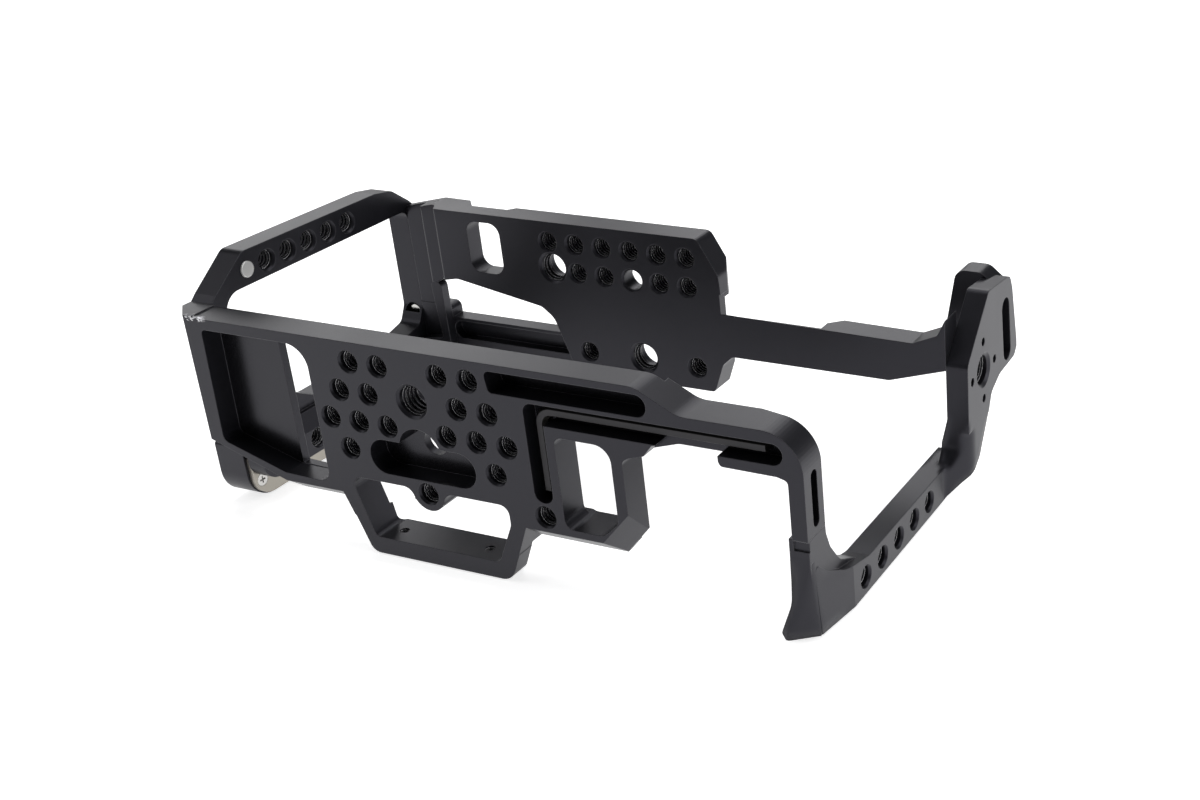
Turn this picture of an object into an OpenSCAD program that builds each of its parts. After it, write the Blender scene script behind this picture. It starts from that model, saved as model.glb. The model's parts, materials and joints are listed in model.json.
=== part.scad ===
// Camera cage: a frame of machined aluminium plates that wraps a mirrorless cinema camera.
// +X runs towards the camera's grip, +Y from the base plate to the top plate,
// +Z from the lens side to the screen side. All sizes are in millimetres.

/* [Cage] */
// Clear height between the base plate and the top plate
inner_gap = 88.4; // [80:0.1:100]
// Thickness of the base plate
base_t = 9.4; // [8:0.1:12]
// Thickness of the arm that carries the key groove
arm_t = 11.4; // [11:0.1:14]
// Thickness of the top plate
top_t = 9.0; // [7:0.1:10]
// Thickness of the top plate beside the strap slot
top_thin_t = 6.6; // [5:0.1:7]
// Thickness of the side frame
frame_t = 8.0; // [7:0.1:10]
// Thickness of the grip-side wing plate
wing_t = 6.9; // [6:0.1:8]

/* [Base plate] */
// X of the base plate's left edge on its outer face
base_left = -78.5; // [-84:0.1:-74]
// Z of the base plate's upper edge
base_top = 15.2; // [14:0.1:17]
// Z of the base plate's lower edge
base_low = -34.6; // [-36:0.1:-33.6]
// Z of the lens loop's lower edge
loop_low = -51.6; // [-54:0.1:-50.5]
// X of the strut's outer face
strut_x = 119.5; // [118:0.1:121]
// Z of the upper side of the arm
arm_top = 8.8; // [7.6:0.1:10]
// Z of the seam between the arm's strut and the grip frame
seam_z = -21.0; // [-22:0.1:-19]
// Depth of the lightening pockets
pocket_depth = 6.8; // [4:0.1:7]

/* [Threads] */
// Spacing of the small threaded holes along a row
hole_pitch = 10.0; // [9.2:0.1:10]
// Spacing of the rows of small threaded holes
row_pitch = 9.1; // [8.9:0.1:9.2]
// Bore radius of a 1/4 inch camera thread
quarter_r = 2.95; // [2.6:0.05:3.1]
// Rim radius of the countersink of a 1/4 inch thread
quarter_rim = 3.5; // [3.2:0.05:3.8]
// Bore radius of a 3/8 inch camera thread
three_eighths_r = 4.5; // [4.2:0.05:4.7]
// Rim radius of the countersink of a 3/8 inch thread
three_eighths_rim = 5.3; // [5:0.05:5.5]
// Spacing of the threaded holes in the side frame
frame_pitch = 9.0; // [8.4:0.1:9.2]
// Spacing of the threaded holes in the grip beam
beam_pitch = 11.2; // [9:0.1:12]

/* [Hex key] */
// Width of the key across its flats
key_af = 3.0; // [2.5:0.1:3.5]
// Width of the key groove
groove_w = 6.0; // [5:0.1:6.4]
// Depth of the key groove
groove_depth = 5.4; // [5:0.1:6]
// Length of the key's long arm
key_long = 68.0; // [60:0.1:70]
// Length of the key's short arm
key_short = 24.0; // [20:0.1:25]

/* [Cable clamp] */
// Radius of the clamp knob
knob_r = 5.0; // [4.6:0.1:5.4]
// Length of the clamp knob
knob_len = 6.0; // [6:0.1:10]
// Radius of the clamp stud
stud_r = 2.0; // [1.8:0.05:2.2]
// Radial running clearance of the stud
run_gap = 0.06; // [0.03:0.01:0.1]

/* [Hidden] */
$fn = 64;
skin = 1;                                  // how far a cutter stands out of the metal it cuts
rim_depth = 0.7;                           // depth of every countersink
top_y = inner_gap;                         // inner face of the top plate
rail_t = 5.4;                              // thickness of the front rail
top_out = top_y + top_t;                   // outer face of the top plate
rail_out = top_out + rail_t;               // outer face of the front rail
frame_x = base_left - 6;                   // outer face of the side frame
frame_in = frame_x + frame_t;              // inner face of the side frame
frame_near = base_t;                       // near end of the side frame
frame_far = rail_out;                      // far end of the side frame
wing_x = strut_x + 2;                      // inner face of the wing
wing_out = wing_x + wing_t;                // outer face of the wing
beam_in = strut_x - 4.5;                   // inner face of strut and grip beam
strut_t = arm_t - 1.4;                     // depth of the strut
beam_out = strut_x + 2.5;                  // outer face of the grip beam
groove_z = 2.5;                            // centre line of the groove's long arm
groove_x = 40.0;                           // centre line of the groove's short arm
window_in = top_out + 0.1;                 // far side of the side frame's window
plate_t = 1.6;                             // thickness of the wear plate
block_t = 10.5;                            // thickness of the side block
block_x1 = frame_in - plate_t;             // block face under the wear plate
claw_near = -1.8;                          // near end of the claw
button_t = 2.6;                            // height of the button screw heads
wing_far = top_out + 32.8;                 // far end of the wing
// the frame's zero: centre of the footprint, at the lowest point
origin = [(block_x1 - block_t + wing_out) / 2, (claw_near + wing_far) / 2, loop_low];

black = [0.06, 0.06, 0.07];
steel = [0.75, 0.74, 0.72];
nickel = [0.66, 0.63, 0.58];
dark_steel = [0.10, 0.10, 0.09];

// ---- outline helpers ----

function unit(v) = v / norm(v);

// Angle of one step of an arc with radius r
function arc_step(r) = r >= 8 ? 5 : r >= 3.5 ? 7.5 : 15;

// Points of the arc that rounds corner b between a and c with radius r
function corner_arc(a, b, c, r) =
    let (u = unit(a - b))
    let (w = unit(c - b))
    let (half = acos(max(-1, min(1, u * w))) / 2)
    let (fits = min(norm(a - b), norm(c - b)) * 0.499 * tan(half))
    let (rr = min(r, fits))
    let (centre = b + unit(u + w) * rr / sin(half))
    let (p = b + u * rr / tan(half) - centre)
    let (q = b + w * rr / tan(half) - centre)
    let (start = atan2(p[1], p[0]))
    let (turn = atan2(p[0] * q[1] - p[1] * q[0], p * q))
    let (steps = max(2, ceil(abs(turn) / arc_step(rr))))
    [for (i = [0 : steps]) centre + rr * [cos(start + turn * i / steps), sin(start + turn * i / steps)]];

// Outline from [x, y, corner radius] entries
function outline(pts) =
    let (n = len(pts))
    [for (i = [0 : n - 1])
        let (b = [pts[i][0], pts[i][1]])
        let (a = [pts[(i + n - 1) % n][0], pts[(i + n - 1) % n][1]])
        let (c = [pts[(i + 1) % n][0], pts[(i + 1) % n][1]])
        each (pts[i][2] > 0 ? corner_arc(a, b, c, pts[i][2]) : [b])];

// Solid with an X-Z outline between two Y values
module slab_y(y0, y1)
    translate([0, y1, 0])
        rotate([90, 0, 0])
            linear_extrude(y1 - y0)
                children();

// Solid with a Y-Z outline between two X values
module slab_x(x0, x1)
    translate([x0, 0, 0])
        rotate([90, 0, 90])
            linear_extrude(x1 - x0)
                children();

// Cylinder along +Y that starts at point p
module rod_y(p, r, h)
    translate(p)
        rotate([-90, 0, 0])
            cylinder(h = h, r = r);

// Cylinder along +X that starts at point p
module rod_x(p, r, h)
    translate(p)
        rotate([0, 90, 0])
            cylinder(h = h, r = r);

// Slot outline with round ends between points a and b
module slot2(a, b, r) {
    translate(a) circle(r);
    translate(b) circle(r);
    translate((a + b) / 2)
        rotate(atan2(b[1] - a[1], b[0] - a[0]))
            square([norm(b - a), 2 * r], center = true);
}

// Cutter of a countersunk hole along +Y, mouth on the plane y = p[1]
module sunk_y(p, r, rim, h) {
    rod_y([p[0], p[1] - skin, p[2]], r, h + skin);
    translate(p)
        rotate([-90, 0, 0])
            cylinder(h = rim_depth, r1 = rim, r2 = r);
    rod_y([p[0], p[1] - skin, p[2]], rim, skin);
}

// Cutter of a countersunk hole along -X, mouth on the plane x = p[0]
module sunk_x(p, r, rim, h) {
    rod_x([p[0] - h, p[1], p[2]], r, h + skin);
    translate(p)
        rotate([0, -90, 0])
            cylinder(h = rim_depth, r1 = rim, r2 = r);
    rod_x(p, rim, skin);
}

// Socket screw along +X: head first, its end face on the plane x = p[0]
module socket_screw_x(p, head_r, head_h, r, h, hex)
    difference() {
        union() {
            rod_x(p, head_r, head_h);
            rod_x([p[0] + head_h, p[1], p[2]], r, h);
        }
        translate([p[0] - skin, p[1], p[2]])
            rotate([0, 90, 0])
                cylinder(h = skin + head_h * 0.6, r = hex, $fn = 6);
    }

// Moves the cage's working position to the frame's zero
module placed()
    translate(-origin)
        children();

// ---- base plate ----

// [column, row] of every small threaded hole in the base plate
grid = concat(
    [for (c = [-2, -1, 1, 2]) [c, 1]],
    [for (c = [-2.5, -1.5, 1.5, 2.5]) [c, 0]],
    [for (c = [-3, -2, -1, 1, 2, 3]) [c, -1]],
    [for (c = [-2.5, 2.5]) [c, -2]]);
lug = [0.3, -28.5];                        // threaded lug in the lens loop
lug_r = 5.3;
low_hole = [39.6, -28.6];                  // threaded hole below the key groove
camera_hole = [0, -15.5];                  // hole of the camera screw
camera_r = 3.9;
loop_l = -23.6;
loop_r = 25.0;
bar_t = 5.4;                               // height of the loop's lower bar
block_x = 66.4;                            // grip side of the window block
stretch_x = 95.4;                          // grip end of the groove's open stretch
lip_t = base_t + 2.2;                      // depth of the plate's lower part
bevel_top = [block_x - 0.2, 0, -23.3];     // where the block's corner bevel starts
leg_lean = atan2(7, 17);                   // lean of the loop's legs
bevel_z = base_low + 1.4;                  // near edge of the plate's lower side
bevel_slope = 0.79;                        // drop of its bevel for each mm of depth
left_low = -24;                            // the same at the plate's left end
left_knee = base_left + 26.5;                           // where that edge bends

module base_outline()
    polygon(outline([
        [frame_x + 6, base_top, 1], [72.5, base_top, 9], [85, arm_top, 9],
        [strut_x, arm_top, 11.2], [strut_x, seam_z, 0], [beam_in, seam_z, 0],
        [beam_in, -4.4, 1.5], [112, -3.6, 2], [stretch_x + 0.6, -3.4, 1.2], [stretch_x, -2, 0],
        [81, -2, 6], [68.6, -5.8, 2], [block_x, -7, 2], [block_x, -31.6, 0], [58.0, -41.3, 0],
        [loop_r + 4.5, base_low - 6, 2], [loop_r, loop_low, 5], [loop_l, loop_low, 3.4],
        [loop_l - 4.5, base_low - 5, 2], [left_knee, base_low - 5, 3], [base_left, left_low - 6.4, 3]]));

module loop_window()
    difference() {
        polygon(outline([
            [-27.2, -27.4, 3], [27.4, -27.4, 4], [27.4, -33.4, 4],
            [loop_r - 3.4, loop_low + bar_t, 2.2], [loop_l + 2, loop_low + bar_t, 2.2]]));
        translate(lug) circle(lug_r);
        translate([lug[0] - lug_r, lug[1]]) square([2 * lug_r, 6]);
        for (side = [-1, 1])
            translate([lug[0], -27.4])
                difference() {
                    translate([side < 0 ? -8.6 : 4.4, -3.6]) square([4.2, 5]);
                    translate([side * 8.6, -3.6]) circle(3.6);
                }
    }

module strap_pocket() {
    // shallow part with a thin floor
    slab_y(-skin, pocket_depth)
        polygon(outline([
            [base_left + 5.9, 11.9, 1.5], [-34.8, 11.9, 7], [-35, -31, 4],
            [base_left + 27, -30.6, 2], [base_left + 4.9, -23.6, 2.5]]));
    // open part of the strap slot
    slab_y(-skin, base_t + skin)
        polygon(outline([
            [-51, 11.9, 0.5], [-34.8, 11.9, 7], [-35, -31, 4], [-51, -30.4, 0.5]]));
}

module key_groove() {
    slab_y(-skin, groove_depth)
        union() {
            slot2([groove_x, groove_z], [groove_x + key_long + 3, groove_z], groove_w / 2);
            slot2([groove_x, groove_z], [groove_x, groove_z - key_short + 0.3], groove_w / 2);
        }
}

// Part of the plate outline inside the box from a to b
module outline_part(a, b)
    intersection() {
        base_outline();
        translate(a) square(b - a);
    }

// Bevel cut below the near edge of the plate's lower side, from x0 to x1
module edge_bevel(x0, x1)
    slab_x(x0, x1)
        polygon([[-skin, skin * bevel_slope], [lip_t + skin, -(lip_t + skin) * bevel_slope],
            [-skin, -(lip_t + skin) * bevel_slope]]);

// Bevels on the near side of the plate's lower edge
module lower_bevels() {
    intersection() {
        translate([0, 0, bevel_z])
            edge_bevel(28, block_x + skin);
        slab_y(-2 * skin, lip_t + 3)
            polygon([[loop_r + 7.4, bevel_z], [loop_r + 3.6, -42.6], [70, -42.6], [70, bevel_z]]);
    }
    intersection() {
        translate([0, 0, bevel_z])
            edge_bevel(left_knee - 2, -26);
        slab_y(-2 * skin, lip_t + 3)
            polygon([[loop_l - 7.4, bevel_z + 0.01], [loop_l - 3.6, -42.6], [-60, -42.6],
                [-60, bevel_z + 0.01]]);
    }
    translate([base_left, 0, left_low])
        rotate([0, atan2(left_low - bevel_z, left_knee - base_left), 0])
            edge_bevel(-8, norm([left_knee - base_left, left_low - bevel_z]) + 6);
    intersection() {
        translate(bevel_top)
            rotate([0, 33.9, -41.4])
                translate([0, -30, -40])
                    cube([20, 60, 80]);
        translate([50, -skin, -45])
            cube([block_x - 49, lip_t + 2 * skin, 24]);
    }
}

// Bevel on the far side of a slanted leg of the loop, which leans out by leg_lean
module leg_bevel()
    rotate([0, leg_lean, 0])
        translate([0, 0, -2])
            linear_extrude(13)
                polygon([[0, 6], [4, 2], [4, 16], [-10, 16]]);

module loop_bevels() {
    translate([loop_r, 0, loop_low])
        leg_bevel();
    translate([loop_l, 0, loop_low])
        mirror([1, 0, 0])
            leg_bevel();
}

module base_plate()
    color(black) placed()
        difference() {
            union() {
                slab_y(0, base_t)
                    base_outline();
                // the arm and the strut are deeper than the plate
                intersection() {
                    slab_y(base_t - 1, arm_t)
                        outline_part([76, -60], [136, 30]);
                    translate([0, 0, -60])
                        linear_extrude(90)
                            polygon([[70, 0], [70, arm_t], [103, arm_t], [109, strut_t],
                                [130, strut_t], [130, 0]]);
                }
                // the lower edge is deeper too
                slab_y(base_t - 1, lip_t) {
                    outline_part([-40, -60], [40, -40.6]);
                    outline_part([35, -60], [62, -30.5]);
                }
                // left column that carries the side frame
                translate([0, 0, left_low - 4])
                    linear_extrude(base_top + 0.4 - left_low + 4)
                        polygon([[base_left, 0], [base_left + 3, 0], [base_left + 3, base_t],
                            [frame_x, base_t], [frame_x, 6]]);
            }
            for (g = grid)
                sunk_y([g[0] * hole_pitch, 0, g[1] * row_pitch], quarter_r, quarter_rim, base_t + skin);
            sunk_y([0, 0, 0], three_eighths_r, three_eighths_rim, base_t + skin);
            sunk_y([lug[0], 0, lug[1]], quarter_r, quarter_rim, lip_t + skin);
            sunk_y([low_hole[0], 0, low_hole[1]], quarter_r, quarter_rim, lip_t + skin);
            slab_y(-skin, lip_t + skin)
                loop_window();
            lower_bevels();
            loop_bevels();
            // relief under the groove's open stretch
            slab_y(-skin, groove_depth)
                polygon([[stretch_x, -6], [stretch_x, 1], [81, 1], [76, -1], [72, -6]]);
            strap_pocket();
            // pocket of the camera screw
            slab_y(-skin, pocket_depth) {
                slot2([-12.6, -19.0], [12.8, -19.0], 5.4);
                translate(camera_hole) circle(7.1);
            }
            rod_y([camera_hole[0], 0, camera_hole[1]], camera_r, base_t + skin);
            // long lightening pocket
            slab_y(-skin, pocket_depth)
                polygon(outline([[25.7, 13.1, 1.8], [75.6, 13.1, 3.2], [75.6, 6.7, 3.1], [26.6, 6.7, 1.6]]));
            key_groove();
            // grip-side window
            slab_y(-skin, arm_t + skin)
                polygon(outline([[45.7, -3.4, 2.4], [63, -3.4, 5], [63, -26.5, 3],
                    [58, -31, 3], [45.7, -31, 3]]));
            // tapped holes in the loop's lower bar
            for (x = [-16, 14.3])
                translate([x, 5.5, loop_low - skin])
                    cylinder(h = bar_t + 2 * skin, r = 1.4);
            // slot in the strut
            slab_x(strut_x - 2.8, strut_x + skin)
                slot2([5.4, -4.5], [5.4, -17.2], 1.7);
            // seats of the key magnets
            for (x = magnet_x)
                rod_y([x, groove_depth - skin, groove_z], magnet_r, magnet_h + skin);
            // threaded seats of hidden screws
            strut_pin_holes();
            near_corner_holes();
        }

// ---- hex key and magnets ----

magnet_x = [groove_x + 0.3 * key_long, groove_x + 0.7 * key_long];
magnet_r = 2.0;
magnet_h = 2.0;
key_y = groove_depth - key_af / 2 - 0.02;   // centre line of the key in the groove
key_bend = 4.0;                             // centre-line radius of the bend
key_x0 = groove_x;

module hex_section()
    circle(r = key_af / sqrt(3), $fn = 6);

module hex_key()
    color(dark_steel) placed()
        translate([key_x0 + key_bend, key_y, groove_z - key_bend]) {
            // long arm
            translate([0, 0, key_bend])
                rotate([0, 90, 0])
                    linear_extrude(key_long - key_bend)
                        hex_section();
            // bend
            rotate([90, 0, 0])
                rotate([0, 0, 90])
                    rotate_extrude(angle = 90)
                        translate([key_bend, 0])
                            hex_section();
            // short arm
            translate([-key_bend, 0, 0])
                rotate([180, 0, 0])
                    linear_extrude(key_short - key_bend)
                        hex_section();
        }

module key_magnets()
    color(steel) placed()
        for (x = magnet_x)
            rod_y([x, groove_depth, groove_z], magnet_r, magnet_h);

// ---- side frame ----

flange_in = frame_in + 6;                   // inner face of the lower flange
flange_low = -42.5;
flange_hole_z = -37.9;                      // row of threaded holes in the flange
flange_far = top_y - 0.4;                   // far end of the flange
flange_top = -30;
stud_a = [25, 21];                          // [y, z] of the upper screw
far_pin_at = [frame_in - 3.9, -20.4];        // [x, z] of the pin in the far end
far_pin_r = 1.9;
first_hole_y = 33.4;
flange_hole_y = 31.5;

module side_frame()
    color(black) placed()
        difference() {
            union() {
                slab_x(frame_x, frame_in)
                    polygon(outline([
                        [frame_near, base_top + 0.4, 0], [11.4, 17.4, 2], [24.4, 26.8, 4],
                        [84, 26.0, 3], [92, 24.6, 3], [99.4, 19, 4], [frame_far, 15.6, 2],
                        [frame_far, -33, 5], [frame_far - 8, flange_top - 4, 4],
                        [15.5, flange_top - 4, 2], [frame_near, -25, 2]]));
                // lower flange, set inwards
                slab_x(frame_in, flange_in)
                    polygon(outline([
                        [frame_near + 0.2, flange_top, 1], [flange_far, flange_top, 2],
                        [flange_far, flange_low, 6], [frame_near + 0.2, flange_low, 6]]));
            }
            // window
            slab_x(frame_x - skin, frame_in + skin)
                polygon(outline([
                    [14.2, -12, 3], [14.2, 16.1, 6], [window_in, 16.1, 3],
                    [window_in, -18.6, 4], [94.6, -24, 3], [87.6, -25.6, 3], [72, -28, 4], [42, -28, 4]]));
            // bevel of the flange's upper edge
            translate([flange_in, 0, flange_top])
                rotate([0, 45, 0])
                    cube([6.2, 400, 6.2], center = true);
            // threaded holes
            for (i = [0 : 4])
                sunk_x([frame_in, first_hole_y + i * frame_pitch, stud_a[1]],
                    quarter_r, quarter_rim, frame_t + skin);
            for (i = [0 : 4])
                sunk_x([flange_in, flange_hole_y + i * frame_pitch * 1.25 - frame_pitch, flange_hole_z],
                    quarter_r, quarter_rim, 6 + skin);
            rod_x([frame_x - skin, stud_a[0], stud_a[1]], screw_r, frame_t + 2 * skin);
            rod_y([far_pin_at[0], window_in - skin, far_pin_at[1]], 3.0, skin + 1.6);
            rod_y([far_pin_at[0], window_in, far_pin_at[1]], far_pin_r + pin_gap, 4);
            near_corner_holes();
            far_corner_holes();
            block_screw_holes();
        }

screw_r = 2.5;                              // shank radius of the frame screw

module far_pin()
    color(steel) placed()
        rod_y([far_pin_at[0], window_in + 0.7, far_pin_at[1]], far_pin_r, 3.2);

// Button-head screw through the upper beam of the side frame
module frame_screw()
    color(steel) placed()
        difference() {
            union() {
                rod_x([frame_x, stud_a[0], stud_a[1]], screw_r, frame_t + 0.4);
                intersection() {
                    rod_x([frame_x - button_t, stud_a[0], stud_a[1]], 4.6, button_t);
                    translate([frame_x + 2.9, stud_a[0], stud_a[1]])
                        sphere(r = 5.5);
                }
            }
            translate([frame_x - button_t - skin, stud_a[0], stud_a[1]])
                rotate([0, 90, 0])
                    cylinder(h = skin + 1.6, r = 1.7, $fn = 6);
        }

// ---- block and wear plate on the side frame's flange ----

block_y0 = 9.4;
block_y1 = 62.0;
block_low = -50.6;
block_top = -34.2;
plate_rim = 1.0;
block_screw_y = [28.1, 50.6];
block_x0 = block_x1 - block_t;              // outer face of the block
block_screw_z = -38.4;

module side_block()
    color(black) placed()
        difference() {
            slab_x(block_x1 - block_t, block_x1)
                polygon(outline([[block_y0, block_top + 3.2, 1], [12.6, block_top + 3.2, 1],
                    [15, block_top, 1], [block_y1, block_top, 1],
                    [block_y1, block_low, 9.5], [block_y0, block_low, 9.5]]));
            block_screw_holes();
            for (s = plate_screws)
                rod_x([block_x1 - 5, s[0], s[1]], 1.0, 8);
        }

plate_screws = [[block_y0 + 4.2, -44], [block_y1 - 6, -44]];

module wear_plate()
    color(nickel) placed()
        difference() {
            slab_x(block_x1, frame_in)
                polygon(outline([
                    [block_y0 + plate_rim, block_top - 1, 1], [block_y1 - plate_rim, block_top - 1, 1],
                    [block_y1 - plate_rim, block_low + plate_rim, 8],
                    [block_y0 + plate_rim, block_low + plate_rim, 8]]));
            block_screw_holes();
            for (s = plate_screws) {
                rod_x([block_x1 - skin, s[0], s[1]], 1.05, 8);
                translate([block_x1 + 0.3, s[0], s[1]])
                    rotate([0, 90, 0])
                        cylinder(h = plate_t - 0.3 + 0.01, r1 = 1.05, r2 = 2.2);
            }
        }

module wear_plate_screws()
    color(steel) placed()
        for (s = plate_screws)
            difference() {
                union() {
                    rod_x([block_x1 - 4.5, s[0], s[1]], 1.0, 5);
                    translate([block_x1 + 0.3, s[0], s[1]])
                        rotate([0, 90, 0])
                            cylinder(h = plate_t - 0.35, r1 = 1.0, r2 = 2.1);
                }
                for (turn = [0, 90])
                    translate([frame_in, s[0], s[1]])
                        rotate([turn, 0, 0])
                            cube([1.4, 2.2, 0.5], center = true);
            }

module block_screw_holes()
    for (y = block_screw_y) {
        rod_x([block_x0, y, block_screw_z], 1.55, flange_in - 0.8 - block_x0);
        rod_x([block_x0 - skin, y, block_screw_z], 2.9, skin + 3.3);
    }

module block_screws()
    color(dark_steel) placed()
        for (y = block_screw_y)
            socket_screw_x([block_x0 + 0.3, y, block_screw_z], 2.75, 3.0, 1.5,
                flange_in - 1 - block_x0 - 3.3, 1.45);

// ---- hidden pins and corner screws ----

pin_r = 1.5;
pin_gap = 0.02;                              // radial clearance of a seated pin
pin_len = 8;
corner_pin_z = [-16, 6];
strut_pin_y = [2.2, 8.5];
arm_pins_at = [[top_y + 2.8, -9.2], [top_y + 6.2, -5.2]];   // [y, z] of the pins in the wing

module near_corner_holes()
    for (z = corner_pin_z)
        rod_y([frame_x + 3.6, frame_near - pin_len / 2, z], pin_r + pin_gap, pin_len);

module near_corner_pins()
    color(dark_steel) placed()
        for (z = corner_pin_z)
            rod_y([frame_x + 3.6, frame_near - pin_len / 2, z], pin_r, pin_len);

module strut_pin_holes()
    for (y = strut_pin_y)
        translate([beam_in + 2.2, y, seam_z - pin_len / 2])
            cylinder(h = pin_len, r = 1 + pin_gap);

module strut_pins()
    color(dark_steel) placed()
        for (y = strut_pin_y)
            translate([beam_in + 2.2, y, seam_z - pin_len / 2])
                cylinder(h = pin_len, r = 1);

module arm_pin_holes()
    for (p = arm_pins_at)
        rod_x([wing_x - pin_len / 2, p[0], p[1]], pin_r + pin_gap, pin_len);

module arm_pins()
    color(dark_steel) placed()
        for (p = arm_pins_at)
            rod_x([wing_x - pin_len / 2, p[0], p[1]], pin_r, pin_len);

// [y, z] of the screws through the side frame's far end: two for the top plate, one for the rail
far_screws = [[window_in + 1.6, 3], [window_in + 1.6, 12.5], [rail_out - rail_t / 2, -25.5]];

module far_corner_holes()
    for (s = far_screws) {
        rod_x([frame_x - skin, s[0], s[1]], 0.85, frame_t + 6);
        rod_x([frame_x - skin, s[0], s[1]], 1.45, skin + 2.4);
    }

module far_corner_screws()
    color(dark_steel) placed()
        for (s = far_screws)
            socket_screw_x([frame_x + 0.3, s[0], s[1]], 1.35, 2.1, 0.8, frame_t + 1.6, 0.7);

// ---- top plate ----

top_high = 21.4;                            // upper edge of the top plate
top_low = -29.2;                            // lower edge of the top plate
row_x = -14;                                // first hole of the two rows
row_z = 14.6;                               // upper row of holes
row_gap = 9.5;
large_hole = [row_x + 0.8, row_z - row_gap + 0.9];          // 3/8 inch hole at the end of the row
plain_hole = [row_x + 3 * hole_pitch + 0.2, row_z - row_gap];
low_large_hole = [17.6, -21];                               // 3/8 inch hole of the lower row
low_row = [-3, 37];                                         // X of the small holes of the lower row
low_row_z = -21.7;
thin_x = -32;                               // where the plate gets thinner
step_x = 85;                                // where the arm gets thicker
column_x = frame_in + 7.9;                           // grip side of the plate's left column
lobe_top = -16.5;                           // lower end of that column
relief_r = 5.6;                             // recess behind the unthreaded and large holes
relief_t = 3.2;

module top_outline()
    polygon(outline([
        [frame_in, 17.6, 0], [frame_in + 15.5, top_high, 5], [40.8, top_high, 2.5],
        [47.4, 10, 4], [48, -2.3, 5],
        [111, -3.4, 2], [119, 0, 2], [wing_x, 5, 0], [wing_x, -10.8, 0], [103.1, -16.4, 3],
        [50, -16.3, 2], [46.4, -19.5, 3], [42.8, top_low, 1.5], [-9.0, top_low, 1.5],
        [-15.2, -11.4, 6], [-19.5, -8, 4], [frame_in + 24.5, -2.2, 6], [frame_in + 16.5, -3.8, 3],
        [frame_in + 9.7, -8.4, 3], [column_x, lobe_top, 0], [frame_in, lobe_top, 0]]));

module top_plan()
    polygon(outline([
        [frame_in, window_in, 0], [frame_in + 9.5, window_in, 1.5],
        [frame_in + 10.5, top_y + 3.6, 1],
        [frame_in + 17, top_y + 3.6, 2], [frame_in + 19, top_y, 1], [wing_x, top_y, 0],
        [wing_x, top_out, 0], [step_x, top_out, 0], [step_x - 6, top_y + 3.4, 0],
        [48.4, top_y + 3.4, 0], [45.6, top_out, 0], [thin_x + 1, top_out, 0],
        [thin_x - 1, top_y + top_thin_t, 0], [-46.8, top_y + top_thin_t, 0],
        [-50.8, top_out + 2.2, 0], [frame_in, top_out + 3.2, 0]]));

module top_plate()
    color(black) placed()
        difference() {
            intersection() {
                slab_y(top_y, rail_out)
                    top_outline();
                translate([0, 0, -60])
                    linear_extrude(120)
                        top_plan();
            }
            // two rows of threaded holes, one large and one plain
            for (i = [0 : 5])
                sunk_y([row_x + i * hole_pitch, top_y, row_z], quarter_r, quarter_rim, top_t + skin);
            sunk_y([large_hole[0], top_y, large_hole[1]], three_eighths_r, three_eighths_rim, top_t + skin);
            for (i = [1, 2, 4, 5])
                sunk_y([row_x + i * hole_pitch, top_y, row_z - row_gap],
                    quarter_r, quarter_rim, top_t + skin);
            sunk_y([plain_hole[0], top_y, plain_hole[1]], 3.3, 3.9, top_t + skin);
            // lower row
            for (x = low_row)
                sunk_y([x, top_y, low_row_z], quarter_r, quarter_rim, top_t + skin);
            sunk_y([low_large_hole[0], top_y, low_large_hole[1]],
                three_eighths_r, three_eighths_rim, top_t + skin);
            // strap slot
            slab_y(top_y - skin, top_out + skin)
                polygon(outline([[-45.2, 18.6, 4], [-32.4, 18.6, 4], [-32.4, 1.2, 4], [-45.2, 1.2, 4]]));
            // room for the clamp's jaw
            translate([frame_in - skin, top_y - skin, lobe_top - skin])
                cube([jaw_room_x - frame_in + skin, window_in - top_y + skin,
                    jaw_top + 0.6 - lobe_top + skin]);
            // step beside the cable clamp
            translate([column_x - 4, top_out + 1.6, lobe_top - skin])
                cube([12, 10, 13]);
            // recesses on the outer face
            for (p = [large_hole, plain_hole, low_large_hole])
                rod_y([p[0], top_out - relief_t, p[1]], relief_r, relief_t + skin);
            // round corner behind the arm's root
            rod_y([49.2, top_y + 3.4, -4.6], 7.2, top_t);
            // bevel behind the arm's upper edge
            slab_x(47.2, step_x - 4)
                polygon([[top_y, -2.2], [top_y + 8, -8.4], [top_y + 8, 4], [top_y, 4]]);
            far_corner_holes();
            arm_pin_holes();
            rail_screw_hole();
        }

// ---- grip frame ----

beam_top = -40.5;
beam_low = -50.8;
first_beam_hole = 27.2;
wing_hole = [101.2, -14.9];                 // [y, z] of the 3/8 inch thread
locator_r = 9.2;                            // distance of the locating holes from it
wing_near = top_y;                          // near edge of the wing

// Flared end of the grip frame under the strut
module claw()
    intersection() {
        slab_y(claw_near, 9)
            polygon(outline([
                [beam_in - 1.2, seam_z, 0], [strut_x, seam_z, 0], [strut_x, beam_low, 0],
                [112.2, beam_low, 1.4], [111, -48.4, 1.2], [114, -39.6, 10],
                [beam_in - 1.2, -30, 8]]));
        slab_x(104, strut_x)
            polygon(outline([
                [0.4, seam_z, 0], [strut_t - 0.4, seam_z, 0], [strut_t - 0.4, beam_low, 0],
                [claw_near, beam_low, 0], [claw_near, -47, 4], [0.1, -33, 20], [0.4, -26, 0]]));
    }

// Slanted face that narrows the claw's near face to its tip
module claw_bevel()
    translate([strut_x, 0.2, -28])
        rotate([0, 7, -53.9])
            translate([0, -30, -24])
                cube([20, 60, 24]);

// Slight taper of the beam's outer face towards the claw
module beam_taper()
    translate([0, 0, beam_low - skin])
        linear_extrude(24)
            polygon([[strut_x - 0.2, 1], [strut_x + 0.2, 4.4], [beam_out, 19.7],
                [beam_out + 4, 19.7], [beam_out + 4, 1]]);

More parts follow.
